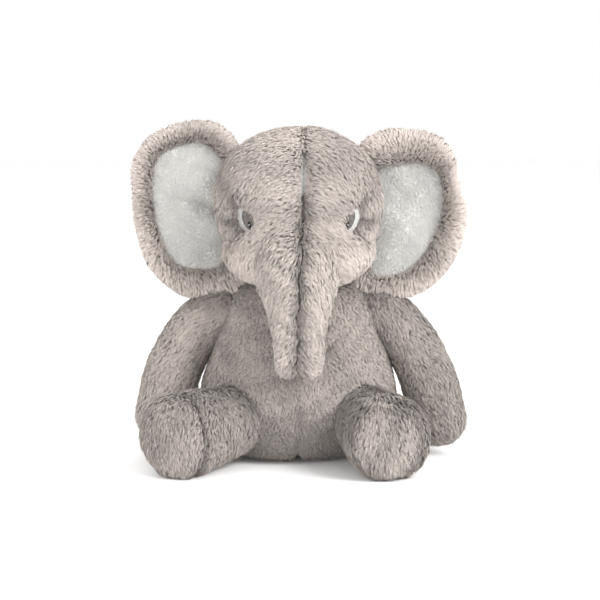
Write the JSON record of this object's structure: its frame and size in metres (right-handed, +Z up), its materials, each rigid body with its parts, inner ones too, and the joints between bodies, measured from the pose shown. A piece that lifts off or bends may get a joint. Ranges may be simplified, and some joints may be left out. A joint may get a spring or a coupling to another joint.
{
  "type": "stuffed elephant",
  "caption": "Seated plush elephant with a jointed head, hanging trunk, lined ears, hanging arms, forward legs and a short tail",
  "frame": {"origin": "the middle of the flat seat, on the floor", "axes": "+Z up, the face looks towards -Y, the elephant's own left is +X"},
  "size_m": [0.2604, 0.2078, 0.267],
  "materials": {
    "plush": "warm grey-taupe long-pile plush",
    "plush_shade": "the same plush, where it is hidden or darker",
    "ear_lining": "pale cool grey short-pile plush",
    "felt": "pressed pale grey felt",
    "iris": "grey-brown stitched oval",
    "pupil": "small glossy black bead",
    "stuffing": "loose white polyester fibre",
    "pouch": "tan cotton pouch of beans",
    "label": "blank white woven satin"
  },
  "bodies": {
    "torso": {"belly_panel_left": "plush", "belly_panel_right": "plush", "back_panel_left": "plush", "back_panel_right": "plush", "seat_panel": "plush_shade", "torso_stuffing": "stuffing", "bean_pouch": "pouch", "care_label": "label"},
    "neck": {"neck_plug": "plush_shade"},
    "head": {"face_panel_left": "plush", "face_panel_right": "plush", "crown_panel": "plush", "head_stuffing": "stuffing", "eye_felt_left": "felt", "eye_felt_right": "felt", "eye_iris_left": "iris", "eye_iris_right": "iris", "eye_pupil_left": "pupil", "eye_pupil_right": "pupil"},
    "trunk_upper": {"trunk_upper_cover": "plush", "trunk_upper_stuffing": "stuffing"},
    "trunk_lower": {"trunk_lower_cover": "plush", "trunk_lower_stuffing": "stuffing"},
    "ear_left": {"ear_back_left": "plush", "ear_rim_left": "plush", "ear_lining_left": "ear_lining", "ear_padding_left": "stuffing"},
    "shoulder_left": {"shoulder_root_left": "plush_shade"},
    "arm_left": {"arm_front_panel_left": "plush", "arm_back_panel_left": "plush", "arm_stuffing_left": "stuffing"},
    "hip_left": {"hip_root_left": "plush_shade"},
    "leg_left": {"leg_cover_left": "plush", "sole_panel_left": "plush", "leg_stuffing_left": "stuffing"},
    "ear_right": {"ear_back_right": "plush", "ear_rim_right": "plush", "ear_lining_right": "ear_lining", "ear_padding_right": "stuffing"},
    "shoulder_right": {"shoulder_root_right": "plush_shade"},
    "arm_right": {"arm_front_panel_right": "plush", "arm_back_panel_right": "plush", "arm_stuffing_right": "stuffing"},
    "hip_right": {"hip_root_right": "plush_shade"},
    "leg_right": {"leg_cover_right": "plush", "sole_panel_right": "plush", "leg_stuffing_right": "stuffing"},
    "tail": {"tail_cover": "plush", "tail_tuft": "plush_shade"}
  },
  "joints": [
    {"name": "neck_turn", "type": "hinge", "parent": "torso", "child": "neck", "pos_m": [0, -0.003, 0.156], "axis": [0, 0, 1], "range_deg": [-35, 35], "stiffness_Nm_per_rad": 0.6},
    {"name": "neck_nod", "type": "hinge", "parent": "neck", "child": "head", "pos_m": [0, -0.003, 0.156], "axis": [-1, 0, 0], "range_deg": [-3, 18], "stiffness_Nm_per_rad": 1},
    {"name": "trunk_lift", "type": "hinge", "parent": "head", "child": "trunk_upper", "pos_m": [0, -0.051, 0.172], "axis": [-1, 0, 0], "range_deg": [0, 60], "stiffness_Nm_per_rad": 0.1},
    {"name": "trunk_curl", "type": "hinge", "parent": "trunk_upper", "child": "trunk_lower", "pos_m": [0, -0.079, 0.123], "axis": [-1, 0, 0], "range_deg": [-6, 60], "stiffness_Nm_per_rad": 0.05},
    {"name": "tail_swing", "type": "hinge", "parent": "torso", "child": "tail", "pos_m": [0, 0.06, 0.038], "axis": [1, 0, 0], "range_deg": [-5, 50], "stiffness_Nm_per_rad": 0.02},
    {"name": "ear_flap_left", "type": "hinge", "parent": "head", "child": "ear_left", "pos_m": [0.0635, 0, 0.205], "axis": [0, 0, -1], "range_deg": [-20, 35], "stiffness_Nm_per_rad": 0.06},
    {"name": "arm_swing_left", "type": "hinge", "parent": "torso", "child": "shoulder_left", "pos_m": [0.06, 0.003, 0.119], "axis": [-0.9063, -0.4226, 0], "range_deg": [0, 50], "stiffness_Nm_per_rad": 0.08},
    {"name": "arm_spread_left", "type": "hinge", "parent": "shoulder_left", "child": "arm_left", "pos_m": [0.06, 0.003, 0.119], "axis": [0, -1, 0], "range_deg": [0, 30], "stiffness_Nm_per_rad": 0.08},
    {"name": "leg_splay_left", "type": "hinge", "parent": "torso", "child": "hip_left", "pos_m": [0.052, -0.041, 0.036], "axis": [0, 0, 1], "range_deg": [-5, 12], "stiffness_Nm_per_rad": 0.4},
    {"name": "leg_lift_left", "type": "hinge", "parent": "hip_left", "child": "leg_left", "pos_m": [0.052, -0.041, 0.036], "axis": [-0.9659, -0.2588, 0], "range_deg": [-15, 20], "stiffness_Nm_per_rad": 0.4},
    {"name": "ear_flap_right", "type": "hinge", "parent": "head", "child": "ear_right", "pos_m": [-0.0635, 0, 0.205], "axis": [0, 0, 1], "range_deg": [-20, 35], "stiffness_Nm_per_rad": 0.06},
    {"name": "arm_swing_right", "type": "hinge", "parent": "torso", "child": "shoulder_right", "pos_m": [-0.06, 0.003, 0.119], "axis": [-0.9063, 0.4226, 0], "range_deg": [0, 50], "stiffness_Nm_per_rad": 0.08},
    {"name": "arm_spread_right", "type": "hinge", "parent": "shoulder_right", "child": "arm_right", "pos_m": [-0.06, 0.003, 0.119], "axis": [0, 1, 0], "range_deg": [0, 30], "stiffness_Nm_per_rad": 0.08},
    {"name": "leg_splay_right", "type": "hinge", "parent": "torso", "child": "hip_right", "pos_m": [-0.052, -0.041, 0.036], "axis": [0, 0, -1], "range_deg": [-5, 12], "stiffness_Nm_per_rad": 0.4},
    {"name": "leg_lift_right", "type": "hinge", "parent": "hip_right", "child": "leg_right", "pos_m": [-0.052, -0.041, 0.036], "axis": [-0.809, 0.5878, 0], "range_deg": [-15, 20], "stiffness_Nm_per_rad": 0.4}
  ]
}
